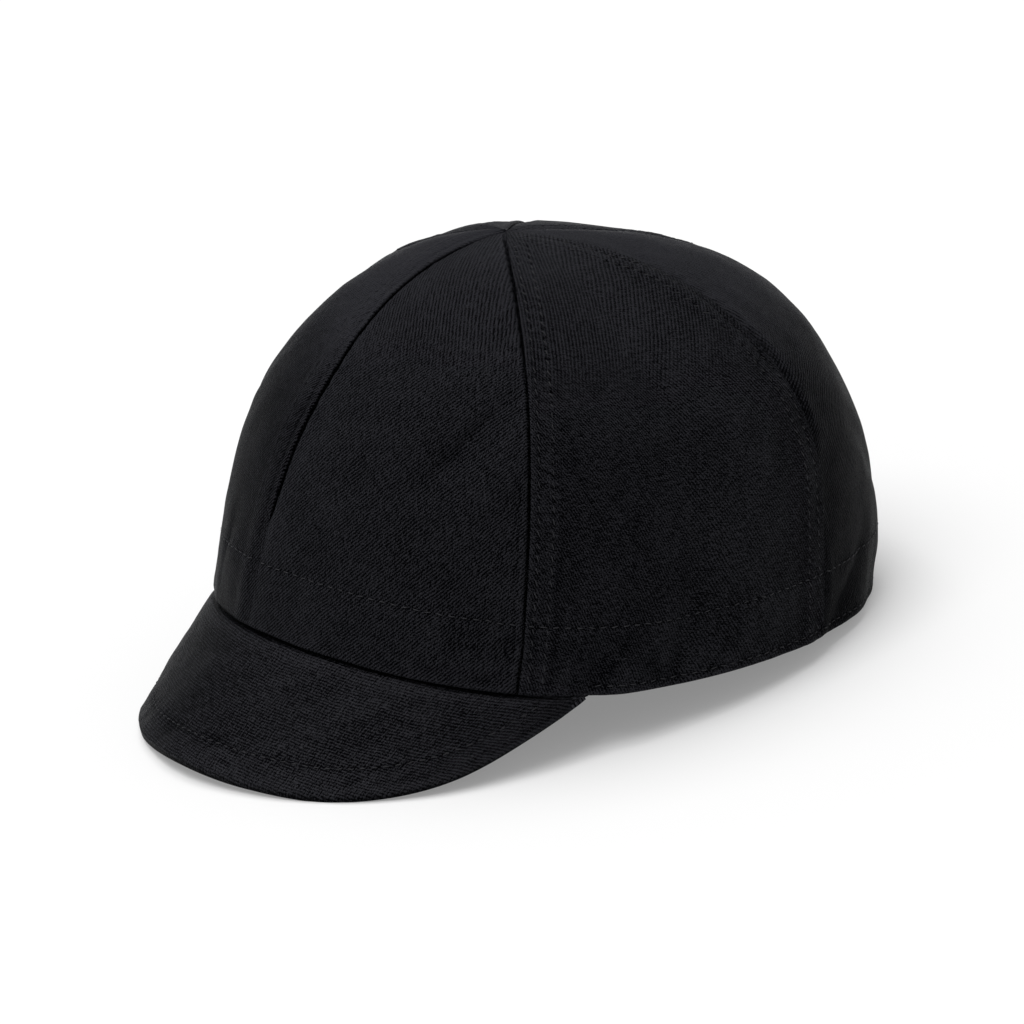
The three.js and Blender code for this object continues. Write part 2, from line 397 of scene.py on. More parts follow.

# %% [markdown]
# ## From a grid to a sheet of cloth
# Each piece of cloth starts as a flat grid, whose points are then laid on the form, and Solidify
# gives it its thickness. The grid also gets a map of the flat cloth in millimetres, along and
# across the thread, so that the weave follows the cloth and not the room, and a value at each
# point for the wear on its crests, the painted shade in its furrows and the piece's painted light
# and shade, and values for which of its threads show.


# %% Cloth helper
def cloth(
    name, points, flat, lift, thickness, painted_light=0, grid=0, upright=0, across_warp=0, squeeze=None
):
    """A sheet of cloth from tables with [column, row]: points in mm, flat as their place on the
    uncut cloth and lift as the height of the relief. The lightness given after the thickness is
    painted light and shade, lighter above 0 and darker below, grid how far the filling threads
    break up the ribs, and upright how far the warp threads show instead, whose places are counted
    by across_warp in mm. squeeze is the share of the thickness that is left where the cloth is
    pressed."""
    columns, rows = points.shape[:2]
    net = bmesh.new()
    bmesh.ops.create_grid(net, x_segments=columns - 1, y_segments=rows - 1, size=0.5)
    data = bpy.data.meshes.new(name)
    net.to_mesh(data)
    net.free()
    start = np.zeros(len(data.vertices) * 3)
    data.vertices.foreach_get("co", start)
    start = start.reshape(-1, 3) + 0.5
    column = np.round(start[:, 0] * (columns - 1)).astype(int)
    row = np.round(start[:, 1] * (rows - 1)).astype(int)
    data.vertices.foreach_set("co", (points[column, row] * MM).ravel())
    corner = np.zeros(len(data.loops), int)
    data.loops.foreach_get("vertex_index", corner)
    layer = data.uv_layers.new(name="cloth_mm")
    layer.data.foreach_set("uv", flat[column, row][corner].ravel())
    # wear on the relief's crests, painted shade in its furrows, and the painted light and shade of
    # the piece
    looks = {"wear_and_painted_light": wear_and_furrow_shade(lift) + painted_light, "grid": grid, "upright": upright}
    looks["across_warp"] = across_warp
    for key, values in looks.items():
        made = data.attributes.new(key, "FLOAT", "POINT")
        made.data.foreach_set("value", (values + 0 * lift)[column, row])
    data.shade_smooth()
    data.update()
    piece = bpy.data.objects.new(name, data)
    bpy.context.scene.collection.objects.link(piece)
    wall = piece.modifiers.new("thickness of the cloth", "SOLIDIFY")
    wall.thickness = thickness * MM
    wall.offset = -1
    if squeeze is not None:
        group = piece.vertex_groups.new(name="squeeze")
        for index, share in enumerate(squeeze[column, row]):
            group.add([index], float(share), "REPLACE")
        wall.vertex_group = group.name
    return piece


print("cloth helper ready")


# %% Waves and measures of cloth
NOISE_CELLS = 64
RIDGE_REACH = 3
# the most that furrows are darkened by, as painted shade, and that crests are paled by, as wear
RIDGE_LIMITS = (-0.5, 0.12)


def smooth(value, low, high):
    """0 below low, 1 above high, and a smooth step between."""
    t = np.clip((value - low) / (high - low), 0, 1)
    return t * t * (3 - 2 * t)


def rumple(x, y, size, seed):
    """Smooth random heights from -1 to 1 over cloth, with hollows about size mm across."""
    heights = np.random.default_rng(seed).uniform(-1, 1, (NOISE_CELLS, NOISE_CELLS))
    i, j = np.floor(x / size).astype(int), np.floor(y / size).astype(int)
    u, v = smooth(x / size - i, 0, 1), smooth(y / size - j, 0, 1)

    def corner(di, dj):
        return heights[(i + di) % NOISE_CELLS, (j + dj) % NOISE_CELLS]

    low = corner(0, 0) * (1 - u) + corner(1, 0) * u
    high = corner(0, 1) * (1 - u) + corner(1, 1) * u
    return low * (1 - v) + high * v


def rounded_edge(distance, radius):
    """How far a folded edge curls down within a radius of it."""
    inward = np.clip(radius - distance, 0, radius)
    return radius - np.sqrt(radius**2 - inward**2)


def wear_and_furrow_shade(lift):
    """How far each point stands over the mean of its neighbours: a little above 0 on crests, where
    the cloth's wear makes it paler, and further below 0 in furrows, which are darkened as painted
    shade."""
    mean = lift
    for axis in (0, 1):
        last = mean.shape[axis] - 1
        steps = range(-RIDGE_REACH, RIDGE_REACH + 1)
        shifts = [np.clip(np.arange(last + 1) + step, 0, last) for step in steps]
        mean = sum(np.take(mean, shift, axis=axis) for shift in shifts) / len(shifts)
    return np.clip(lift - mean, *RIDGE_LIMITS)


def along(points, axis):
    """Distance travelled over a sheet's points, in mm, along its columns or rows."""
    steps = np.linalg.norm(np.diff(points, axis=axis), axis=-1)
    first = np.zeros_like(np.take(steps, [0], axis=axis))
    return np.cumsum(np.concatenate([first, steps], axis=axis), axis=axis)


print("wrinkles repeat after", NOISE_CELLS, "hollows")

# %% [markdown]
# ## Sewn lines
# A lapped seam folds one panel's edge under and stitches it down on the next one with two rows.
# The eye sees a dark line at the fold, a raised strip about 8 mm wide beside it, two dotted
# furrows in the strip and, between them, slanting puckers at the pitch of the stitches. Low down,
# where a seam is pressed, the fold and its furrows fade. The hem has the same furrows: one row
# close to its edge and one where the facing ends inside.

# %% Sizes of the sewing
# all in mm, apart from the slant, which is a share of the distance from the seam
CLOTH = 1.2
UNDERLAP = 3.0
OVERLAP = 0.1
LAP_WIDTH = 8.3
LAP_ROWS = (2.5, 7.0)
LAP_ROW_DEPTH = 0.16
LAP_ROW_WIDTH = 0.6
PIT_DEPTH = 0.34
FOLD_RADIUS = 0.8
GROOVE_WIDTH = 1.3
PRESSED_CHANGE = 7
SUNK_CHANGE = 16
STITCH_PITCH = 3.4
PUCKER_SLANT = 0.45
PUCKER_HEIGHT = 0.13
HEM_ROW = 2.7
HEM_FOLD_RADIUS = 1.1
FACING_ROW = 19.4
print("lap", LAP_WIDTH, "mm wide, stitches every", STITCH_PITCH, "mm")


# %% Relief of the sewn lines
def furrow(distance, width):
    """A narrow groove of depth 1 along a row of stitches."""
    return np.exp(-((distance / width) ** 2))


def above(height, limit, change):
    """0 well below a height on the cloth, 1 well above it, changing over twice the change."""
    return smooth(height, limit - change, limit + change)


def seam_relief(distance, length, room, lapped, sewing, seed):
    """Height of the cloth beside a seam: distance from it, length along it, the panel's width
    there, whether this panel is the doubled one, and the seam's row of SEWING."""
    rise, groove, _, pressed_below, puckers, sunk_below = sewing
    # all of it fades where the panel narrows to the top, the fold where the seam is pressed, and
    # the rows of stitches where they sink in
    fade = smooth(room, 2, 26)
    loud = above(length, pressed_below, PRESSED_CHANGE)
    crisp = 0.12 + 0.88 * above(length, sunk_below, SUNK_CHANGE)
    # each stitch pulls by its own amount, and its puckers slant and stray
    uneven = 1.6 * rumple(length, distance, 5, seed + 40)
    phase = 2 * np.pi * (length + PUCKER_SLANT * distance) / STITCH_PITCH + uneven
    loose = 0.9 + 1.1 * rumple(length, distance / 2, 9, seed)
    # the whole seam lies in a shallow valley between two fuller panels
    valley = -0.4 * furrow(distance, 6) * (0.25 + 0.75 * loud)
    if not lapped:
        # this panel runs under the other one: it dips into the groove and shows half the pull
        pull = 0.08 * np.sin(phase / 2) * furrow(distance, 4) * loose
        groove = groove * (1 + 0.3 * rumple(length, 0 * length, 3.5, seed + 60))
        under = -(0.05 + (groove - 0.05) * loud) * (1 - smooth(distance, 0, GROOVE_WIDTH))
        under = under - 1.1 * (1 - loud) * smooth(-distance, 0.2, 1.8)
        pull = crisp * (pull - 0.2 * furrow(distance, 1.8))
        return under * smooth(room, 0, 8) + fade * (valley + pull)
    # this panel lies on top: a folded edge, a raised strip with two rows, and a pit per stitch
    edge = -loud * rounded_edge(distance + OVERLAP, FOLD_RADIUS) * smooth(room, 0, 6)
    pits = furrow(np.sin(np.pi * length / STITCH_PITCH), 0.4) * np.maximum(loose, 0.2)
    pits = PIT_DEPTH * pits * (0.2 + 0.8 * puckers)
    lap = rise * (1 - smooth(distance, LAP_WIDTH - 2, LAP_WIDTH + 1.5))
    lap = lap * (loud + 0.6 * (1 - loud) * smooth(distance, 0, 5))
    rows = sum(furrow(distance - row, LAP_ROW_WIDTH) for row in LAP_ROWS)
    rows = (-LAP_ROW_DEPTH - pits) * rows
    strip = smooth(distance, 0.6, 1.8) * (1 - smooth(distance, 6.8, 10))
    pucker = PUCKER_HEIGHT * puckers * rise * np.sin(phase) * strip * loose
    return edge + fade * (valley + lap + crisp * (rows + pucker))


def hem_relief(up, length, open_hem, seed):
    """Height of the relief by the way up from the hem's folded edge and along it. open_hem is 0
    over the brim and 1 past it."""
    phase = 2 * np.pi * length / STITCH_PITCH
    loose = 1 + 0.6 * rumple(length, up, 8, seed)
    # the facing behind the cloth lifts it a little, each row sinks in, and its stitches pull
    doubled = 0.12 * (1 - smooth(up, FACING_ROW - 0.5, FACING_ROW + 2.2))
    rows = -0.24 * open_hem * furrow(up - HEM_ROW, 0.6) - 0.17 * furrow(up - FACING_ROW, 0.7)
    pull = 0.12 * open_hem * np.sin(phase + 0.7 * up) * furrow(up - HEM_ROW, 2.2)
    pull = pull + 0.06 * np.sin(phase) * furrow(up - FACING_ROW, 3)
    return -rounded_edge(up, HEM_FOLD_RADIUS) + doubled + rows + pull * loose


print("the laps stand up to", max(row[0] for row in SEWING), "mm proud")

# %% [markdown]
# ## The six panels
# Each panel is a grid from seam to seam and from the hem to the top, with its columns and rows
# closest together where the sewing is. Broad soft wrinkles come from smooth random heights in
# three sizes, and they are stronger where sewing gathers the cloth. Each gore is cut at its own
# angle to the thread, so its ribs slant its own way. Each also gets painted light towards its top,
# and painted shade where it faces away from the light.

# %% Sizes of the panels
PANELS = [
    # name, the angle that its cloth is turned by, which shows in its ribs, the height below which
    # the filling threads show too and break the ribs into a grid, its painted light and shade,
    # darker below 0, the angle of its warp threads, which show near the top, the painted light on
    # its top, and its painted shade beside its last seam
    ("panel_front_left", 0, -20, 0.03, 102, 0.16, 0.03),
    ("panel_left", -76, 74, -0.03, 64, 0.16, -0.16),
    ("panel_back_left", 8, 30, -0.42, 90, 0.8, -0.26),
    ("panel_back_right", -20, 20, -0.05, 90, 0.18, -0.05),
    ("panel_right", 15, 60, -0.02, 100, 0.18, -0.02),
    ("panel_front_right", -8, -20, -0.28, 80, 0.8, -0.1),
]
BRIM_HALF_ANGLE = 72.8
EDGE_ZONE = 11
EDGE_COLUMNS = 25
MIDDLE_COLUMNS = 54
HEM_ZONE_CLIMB = 0.034
HEM_ROWS = 18
UPPER_ROWS = 235
WIDTH_PROBES = 13
# size and depth in mm, the size below which sewing gathers them, and where in the noise they start
WRINKLES = [(27, 0.6), (12, 0.26), (5.2, 0.08)]
GATHERED_SIZE = 20
WRINKLE_START = (300, 200)
PATTERN_SHIFT = 300
# heights in mm between which the looks change, and the width beside the last seam where they do
LEAST_GRID = 0.08
GRID_CHANGE = 15
# painted light on the upper part of each panel, and a painted highlight near the apex
TOP_LIGHT_HEIGHTS = (55, 125)
TOP_HEIGHTS = (118, 145)
PAINTED_APEX_LIGHT = 0.2
UPRIGHT_HEIGHTS = (76, 102)
# the width over which a panel's painted shade gives way to the painted shade beside its last seam
SEAM_SHADE_CHANGE = 26
print("each panel has", 2 * EDGE_COLUMNS + MIDDLE_COLUMNS - 2, "columns of points")


# %% Grid of a panel
def laps(index):
    """Whether a panel is the doubled one at its first seam and at its last."""
    return SEAMS[index][2] > 0, SEAMS[(index + 1) % len(SEAMS)][2] < 0


def panel_points(index):
    """Points, normals and measures of one panel, all as [column, row]."""
    # rows, close together at the hem
    low = np.linspace(0, HEM_ZONE_CLIMB, HEM_ROWS, endpoint=False)
    climb = np.concatenate([low, np.linspace(HEM_ZONE_CLIMB, 1, UPPER_ROWS)])
    share = np.sin(climb * np.pi / 2)
    start, end = seam_angle(index, share), seam_angle(index + 1, share)
    probe = start + (end - start) * np.linspace(0, 1, WIDTH_PROBES)[:, None]
    width = along(crown_face(probe, climb + 0 * probe), 0)[-1]
    # columns, close together at both seams and going a little past them, under the next panel
    zone = np.minimum(EDGE_ZONE, 0.36 * width)
    near = np.linspace(0, 1, EDGE_COLUMNS)[:, None]
    near = near * (0.45 + 0.55 * near)
    reach = [OVERLAP if lapped else UNDERLAP for lapped in laps(index)]
    first, last = [-np.minimum(size, 0.12 * width) for size in reach]
    middle = np.linspace(0, 1, MIDDLE_COLUMNS)[1:-1, None]
    starting = first + (zone - first) * near
    ending = width - (last + (zone - last) * near[::-1])
    left = np.concatenate([starting, zone + (width - 2 * zone) * middle, ending])
    angle = start + (end - start) * left / width
    climb = climb + 0 * left
    face, normal = crown_face(angle, climb), outward(crown_face, angle, climb)
    face = face + normal * hollows(angle, np.sin(climb * np.pi / 2), SWELLS)[..., None]
    from_brim = np.abs(np.mod(angle + 180, 360) - 180) - BRIM_HALF_ANGLE
    return face, normal, left, width, smooth(from_brim, -1, 1)


print("doubled at the first and last seam:", [laps(index) for index in range(len(PANELS))])


# %% Relief and looks of a panel
def panel_relief(index, left, width, up, round_it, open_hem):
    """Height of a panel's relief: its two seams, its hem and its wrinkles."""
    seed = 10 * index + 1
    first, last = laps(index)
    right, last_sewing = width - left, SEWING[(index + 1) % len(SEAMS)]
    lift = seam_relief(left, up[0], width, first, SEWING[index], seed)
    lift = lift + seam_relief(right, up[-1], width, last, last_sewing, seed + 1)
    lift = lift + hem_relief(up, round_it, open_hem, seed + 2)
    # wrinkles are deeper near the sewing, which gathers the cloth, and end at the seams
    near = np.minimum(left, right)
    gathered = 1 + 1.3 * furrow(near, 9) + 1.2 * furrow(up, 16)
    across, climb = left + WRINKLE_START[0], up + WRINKLE_START[1]
    for number, (size, depth) in enumerate(WRINKLES):
        crumple = rumple(across, climb, size, seed + 3 + number) * smooth(near, -0.5, 3.5)
        strength = gathered if size < GATHERED_SIZE else 1
        lift = lift + depth * crumple * smooth(width, 4, 40) * strength
    return lift


def panel_looks(index, left, width, up):
    """The panel's place on the uncut cloth, its painted light and shade, and how gridded and upright
    its weave looks.
    """
    _, turned, grid_below, painted_panel_shade, warp, painted_top_light, painted_seam_shade = PANELS[index]
    c, s = math.cos(math.radians(turned)), math.sin(math.radians(turned))
    u, v = left - width / 2, up[len(up) // 2] + 0 * left
    flat = np.stack([u * c - v * s + PATTERN_SHIFT * index, u * s + v * c], -1)
    # painted shade on the whole panel and beside its last seam, painted light towards its top and a
    # painted highlight near the apex
    painted_light = painted_seam_shade + (painted_panel_shade - painted_seam_shade) * smooth(width - left, 0, SEAM_SHADE_CHANGE)
    painted_light = painted_light + painted_top_light * smooth(v, *TOP_LIGHT_HEIGHTS) + PAINTED_APEX_LIGHT * smooth(v, *TOP_HEIGHTS)
    grid = 1 - (1 - LEAST_GRID) * above(v, grid_below, GRID_CHANGE)
    upright = smooth(v, *UPRIGHT_HEIGHTS)
    across_warp = u * math.sin(math.radians(warp)) - v * math.cos(math.radians(warp))
    return flat, (painted_light, grid, upright, across_warp)


def tell_flat_size(name, size, area):
    """Prints a sheet's flat size, given in metres, and its area, given in square millimetres."""
    print(name, "flat cloth", *[round(side / MM) for side in size], "mm,", round(area / 100), "cm2")


print("looks change at the heights", TOP_LIGHT_HEIGHTS, TOP_HEIGHTS, UPRIGHT_HEIGHTS)


# %% Panels
def panel(index):
    """One crown panel as cloth. Returns the piece and what its stitches need."""
    name = PANELS[index][0]
    face, normal, left, width, open_hem = panel_points(index)
    up, round_it = along(face, 1), along(face, 0)
    lift = panel_relief(index, left, width, up, round_it, open_hem)
    points = rest(face + normal * lift[..., None])
    flat, looks = panel_looks(index, left, width, up)
    piece = cloth(name + "_cloth", points, flat, lift, CLOTH, *looks)
    centre = up[len(up) // 2]
    area = float(np.sum((width[1:] + width[:-1]) / 2 * np.diff(centre)))
    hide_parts(name)
    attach(piece, "root")
    size = (float(width.max()) * MM, float(centre[-1]) * MM)
    tell_flat_size(name, size, area)
    measures = {"left": left, "right": width - left, "up": up, "open": open_hem}
    return {"piece": piece, "points": points, **measures}


panels = [panel(index) for index in range(len(PANELS))]

# %% [markdown]
# ## The brim
# The brim is limp: two layers of the same twill, sewn together at the outer edge, turned out
# and topstitched nearly 10 mm in. It hangs steeply from the front of the hem and tapers out past
# the side seams. The turned edge is round, and small radial puckers run from the stitches to it.
# Where its edge lies on the floor, the cloth is pressed thin instead of passing through.

# %% Form of the brim
# all in mm, apart from BRIM_SWEEP in degrees and BRIM_END, a share of the brim's half angle
BRIM_SWEEP = 40
BRIM_TUCK = 1.6
BRIM_ROOT = 1.6
BRIM_DROP = 0.3
BRIM_DEPTH = 2.9
BRIM_CLOTH = 1.15
BRIM_ROW = 9.5
BRIM_END = 0.998
BRIM_COLUMNS = 300
BRIM_ROWS = 52
BRIM_BUNCHING = 0.09
BRIM_WRINKLES = [(30, 0.55), (13, 0.3), (5, 0.09)]
BRIM_WRINKLE_START = (200, 100)
BRIM_SEED = 90
# painted shade on the wearer's right half of the brim
BRIM_PAINTED_SHADE = 0.16
# sections of the brim from the wearer's right to the left: place, length and slope in degrees
SECTION_SHARES = [-1, -0.9, -0.75, -0.5, -0.25, 0, 0.25, 0.5, 0.75, 0.9, 1]
SECTION_LENGTHS = [0.5, 11.4, 25.4, 39.2, 42.9, 42.8, 41.5, 37, 23.9, 10.1, 0.5]
SECTION_SLOPES = [50, 52.5, 55.5, 56, 54.5, 52, 54.5, 56, 55.5, 52.5, 50]


def brim_face(share, out):
    """Upper face of the brim in mm, by share of the half brim and by distance out from the hem."""
    angle = share * BRIM_HALF_ANGLE
    turn = np.radians(angle)
    hem = crown_face(angle, 0 * angle)
    heading = np.arctan2(np.sin(turn) / HEM_HALF_WIDTH, np.cos(turn) / HEM_FRONT)
    heading = heading - math.radians(BRIM_SWEEP) * share
    slope = np.radians(curve(SECTION_SHARES, SECTION_SLOPES, share))
    x = hem[..., 0] + out * np.sin(heading) * np.cos(slope)
    y = hem[..., 1] - out * np.cos(heading) * np.cos(slope)
    return np.stack([x, y, hem[..., 2] - BRIM_DROP - out * np.sin(slope)], -1)


print("brim", max(SECTION_LENGTHS), "mm long in the middle")


# %% Relief of the brim
def brim_relief(round_it, out, length, seed):
    """Height of a layer's relief by the way along the hem, the way out and the brim's length."""
    edge = length - out
    phase = 2 * np.pi * round_it / STITCH_PITCH
    loose = 1 + 0.6 * rumple(round_it, edge, 8, seed)
    # the turned edge is doubled out to the row, which sinks in, and its stitches pull
    doubled = 0.12 * (1 - smooth(edge, BRIM_ROW - 3, BRIM_ROW)) - 0.14 * furrow(edge - BRIM_ROW, 0.7)
    doubled = doubled + 0.07 * np.sin(phase) * furrow(edge - BRIM_ROW, 3) * loose
    lift = doubled * smooth(length, 8, 16) - rounded_edge(edge, BRIM_DEPTH / 2)
    # small radial puckers between the row and the edge, then soft wrinkles over all of it
    lift = lift + 0.13 * rumple(round_it, edge / 6, 3.2, seed + 1) * furrow(edge - 5, 4.5)
    across, inward = round_it + BRIM_WRINKLE_START[0], edge + BRIM_WRINKLE_START[1]
    for number, (size, depth) in enumerate(BRIM_WRINKLES):
        crumple = rumple(across, inward, size, seed + 2 + number)
        lift = lift + depth * crumple * smooth(out, 0, 12)
    return lift


def brim_layer(under):
    """Points and measures of one layer of the brim, the upper one or the one under it."""
    share = np.linspace(-BRIM_END, BRIM_END, BRIM_COLUMNS)[:, None]
    length = curve(SECTION_SHARES, SECTION_LENGTHS, share)
    step = np.linspace(0, 1, BRIM_ROWS)
    step = step + BRIM_BUNCHING * np.sin(2 * np.pi * step)
    out = -BRIM_TUCK + (length + BRIM_TUCK) * step
    share = share + 0 * out
    face = brim_face(share, out)
    normal = -outward(brim_face, share, out)
    round_it = along(face, 0)
    lift = brim_relief(round_it, out, length, BRIM_SEED + under)
    if under:
        lift = -BRIM_DEPTH * (0.3 + 0.7 * smooth(length, 1, 10)) - 0.7 * lift
    else:
        root = (1 - smooth(out, -0.4, 1.5)) * (0.3 + 0.7 * smooth(length, 6, 20))
        lift = lift - BRIM_ROOT * root
    points = rest(face + normal * lift[..., None])
    flat = np.stack([round_it - round_it.mean(0), -out], -1)
    # painted shade: the wearer's right half of the brim is darkened, as it faces away from the light
    painted_light = -BRIM_PAINTED_SHADE * smooth(-share, -0.35, 0.25)
    tables = {"points": points, "flat": flat, "lift": lift, "edge": length - out, "painted_light": painted_light}
    return tables, length[:, 0], round_it[:, BRIM_ROWS // 2]


# %% Brim layers
# how far its filling threads show, the least share of its thickness that is left on the floor,
# and the mm of room between the two layers there
BRIM_GRID = 0.8
LEAST_SQUEEZE = 0.03
LAYER_ROOM = 0.2


def brim(name, under):
    """One layer of the brim as cloth. Returns the piece and what its stitches need."""
    tables, length, span = brim_layer(under)
    over_floor = brim_layer(0)[0]["points"][..., 2]
    tables["squeeze"] = np.clip(over_floor / (2 * BRIM_CLOTH + LAYER_ROOM), LEAST_SQUEEZE, 1)
    if not under:
        tables = {key: table[:, ::-1] for key, table in tables.items()}
    edge = tables.pop("edge")
    piece = cloth(name + "_cloth", thickness=BRIM_CLOTH, grid=BRIM_GRID, **tables)
    widths = length + BRIM_TUCK
    area = float(np.sum((widths[1:] + widths[:-1]) / 2 * np.diff(span)))
    size = (float(span[-1]) * MM, float(widths.max()) * MM)
    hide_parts(name)
    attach(piece, "root")
    tell_flat_size(name, size, area)
    return {"piece": piece, "points": tables["points"], "edge": edge, "length": length}


brim_upper = brim("brim_upper_cover", 0)
brim_under = brim("brim_under_cover", 1)

# %% [markdown]
# ## The facing inside the hem
# A strip of thinner cloth covers the raw edges inside. Its edges are folded on the real cap, but it
# is only seen from below, so here it is a plain band with slight waves, and its ends meet at the
# back.

# %% Facing
# in mm, apart from BAND_END, the angle in degrees at which it starts and ends beside the back seam
BAND_CLOTH = 0.8
BAND_DEPTH = 3.0
BAND_LOW, BAND_HIGH = 1.6, 20.4
BAND_END = 179.7
BAND_COLUMNS = 420
BAND_ROWS = 26
BAND_SLACK = 0.2
BAND_WAVES = [(14, 0.3), (5, 0.12)]
BAND_GRID = 0.3
BAND_SEED = 71


def facing():
    """The strip inside the hem as cloth."""
    angle = np.linspace(BAND_END, -BAND_END, BAND_COLUMNS)[:, None]
    height = np.linspace(BAND_LOW, BAND_HIGH, BAND_ROWS)
    climb = np.arcsin(height / CROWN_HEIGHT) / (np.pi / 2) + 0 * angle
    angle = angle + 0 * climb
    face, normal = crown_face(angle, climb), outward(crown_face, angle, climb)
    round_it, up = along(face, 0), height - BAND_LOW + 0 * angle
    waves = sum(
        depth * rumple(round_it, up, size, BAND_SEED + number)
        for number, (size, depth) in enumerate(BAND_WAVES)
    )
    waves = waves * np.sin(np.pi * up / (BAND_HIGH - BAND_LOW)) ** 0.5
    points = rest(face - normal * (BAND_DEPTH - BAND_SLACK + waves)[..., None])
    flat = np.stack([round_it, up], -1)
    piece = cloth("inner_band_cloth", points, flat, waves, BAND_CLOTH, grid=BAND_GRID)
    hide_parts("inner_band")
    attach(piece, "root")
    return piece


band = facing()

# %% [markdown]
# ## Stitches
# The thread is black too, but it is smooth and tight, so each stitch catches a small light. A
# stitch is a short bent bead that dives into the cloth at both ends. One bead is made from a
# coarse sphere and laid along each sewn line at the pitch of the sewing.

# %% One stitch
# in mm: how thick and long it is, how high its middle bows and how far its ends dive
THREAD = 0.36
STITCH_LENGTH = 1.9
STITCH_BOW = 0.10
STITCH_DIVE = 0.30


def stitch_shape():
    """Points and faces of one stitch that lies along X and bows up along Z, in mm."""
    bead = bmesh.new()
    bmesh.ops.create_uvsphere(bead, u_segments=6, v_segments=6, radius=0.5)
    lying = Vector((1, 0, 0)).rotation_difference(Vector((0, 0, 1))).to_matrix()
    bmesh.ops.rotate(bead, verts=bead.verts, matrix=lying)
    for vert in bead.verts:
        share = 2 * vert.co.x
        vert.co.x = math.sin(share * math.pi / 2) * STITCH_LENGTH / 2
        vert.co.y *= THREAD
        vert.co.z = vert.co.z * THREAD + STITCH_BOW - STITCH_DIVE * share**4
    points = np.array([vert.co[:] for vert in bead.verts])
    faces = [[vert.index for vert in face.verts] for face in bead.faces]
    bead.free()
    return points, faces


print("a stitch has", len(stitch_shape()[1]), "faces")

# %% Rows of stitches
# degrees from the row that seam stitches slant by, and that any stitch strays by
STITCH_SLANT = 22
SLANT_STRAY = 14
# mm that a stitch may stand proud, that its depth may vary by, and that a row's depth wanders by
STITCH_PROUD = 0.08
DEPTH_VARIES = 0.17
ROW_WANDER = 0.07
WANDER_SIZE = 19
LOOK_AHEAD = 0.6
SLANT_SEED, WANDER_SEED = 500, 600


def unit(vectors):
    """The same vectors, each one long."""
    return vectors / np.maximum(np.linalg.norm(vectors, axis=-1, keepdims=True), 1e-9)


def read_off(at, travelled, table):
    """A table's rows at some distances along its line."""
    return np.stack([np.interp(at, travelled, table[:, k]) for k in range(table.shape[1])], -1)


def stitch_axes(line, normals, sunk, slant, number):
    """Place, direction, side and normal of each stitch along one line."""
    travelled = along(line, 0)
    count = int(travelled[-1] / STITCH_PITCH)
    at = STITCH_PITCH * (np.arange(count) + 0.5)
    uneven = np.random.default_rng(SLANT_SEED + number)
    places = read_off(at, travelled, line)
    normal = read_off(at, travelled, normals)
    tangent = unit(read_off(at + LOOK_AHEAD, travelled, line) - places)
    tilt = np.radians(slant + SLANT_STRAY * uneven.uniform(-1, 1, (count, 1)))
    tangent = tangent * np.cos(tilt) + unit(np.cross(normal, tangent)) * np.sin(tilt)
    deep = np.interp(at, travelled, sunk + 0 * travelled)
    deep = deep - STITCH_PROUD + DEPTH_VARIES * uneven.random(count)
    deep = deep + ROW_WANDER * rumple(at, 0 * at, WANDER_SIZE, WANDER_SEED + number)
    places = places - normal * deep[:, None]
    side = unit(np.cross(normal, tangent))
    return zip(places, tangent, side, np.cross(tangent, side))


def sew(name, lines, slant):
    """Lays stitches along lines, given as points in mm, normals and how far the row is sunk. Each
    is turned by about slant degrees from its line, and no two lie equally deep."""
    shape, faces = stitch_shape()
    points, polygons = [], []
    for number, (line, normals, sunk) in enumerate(lines):
        for place, tangent, side, normal in stitch_axes(line, normals, sunk, slant, number):
            base = len(points) * len(shape)
            points.append(place + shape @ np.array([tangent, side, normal]))
            polygons += [[base + i for i in face] for face in faces]
    data = bpy.data.meshes.new(name)
    data.from_pydata(np.concatenate(points) * MM, [], polygons)
    data.shade_smooth()
    piece = bpy.data.objects.new(name, data)
    bpy.context.scene.collection.objects.link(piece)
    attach(piece, "root")
    print(name, len(points), "stitches")
    return piece


print("stitches every", STITCH_PITCH, "mm")


# %% Lines over a sheet
def sheet_normals(points):
    """Unit normals of a sheet's points."""
    across, upward = np.gradient(points, axis=0), np.gradient(points, axis=1)
    return unit(np.cross(across, upward))


def line_at(points, measure, value):
    """The line over a sheet where a distance measured across its columns has one value."""
    forward = measure[-1, 0] > measure[0, 0]
    order = slice(None) if forward else slice(None, None, -1)
    rows = zip(measure.T, points.transpose(1, 0, 2))
    return np.array([read_off(value, distance[order], row[order]) for distance, row in rows])


def up_the_sheet(points, measure, value, keep):
    """The line up a sheet where measure has a value, and its normals, over the rows to keep."""
    line = line_at(points, measure, value)
    return line[keep], line_at(sheet_normals(points), measure, value)[keep]


def across_the_sheet(points, measure, value, keep):
    """The same for a line that runs across the sheet, over the columns to keep."""
    line, normals = up_the_sheet(points.transpose(1, 0, 2), measure.T, value, keep)
    return line, -normals


print("lap rows", LAP_ROWS, "mm from the fold, hem rows", (HEM_ROW, FACING_ROW), "mm up")

# %% Rows on the laps, round the hem and on the brim
# in mm: how far the rows are sunk, how low a lap's row ends, the room that it needs near the top,
# where it also has to be a few row widths from the other seam, and the room that the brim's needs
FAINT_SUNK = 0.13
HIDDEN_SUNK = 0.4
HEM_ROW_SUNK, FACING_ROW_SUNK, BRIM_ROW_SUNK = -0.05, 0.0, 0.05
LAP_ROW_LOWEST = 2.5
LAP_ROW_ROOM = 16
ROW_WIDTHS = 3.4
BRIM_ROW_ROOM = 1.5
PAST_BRIM = 0.9


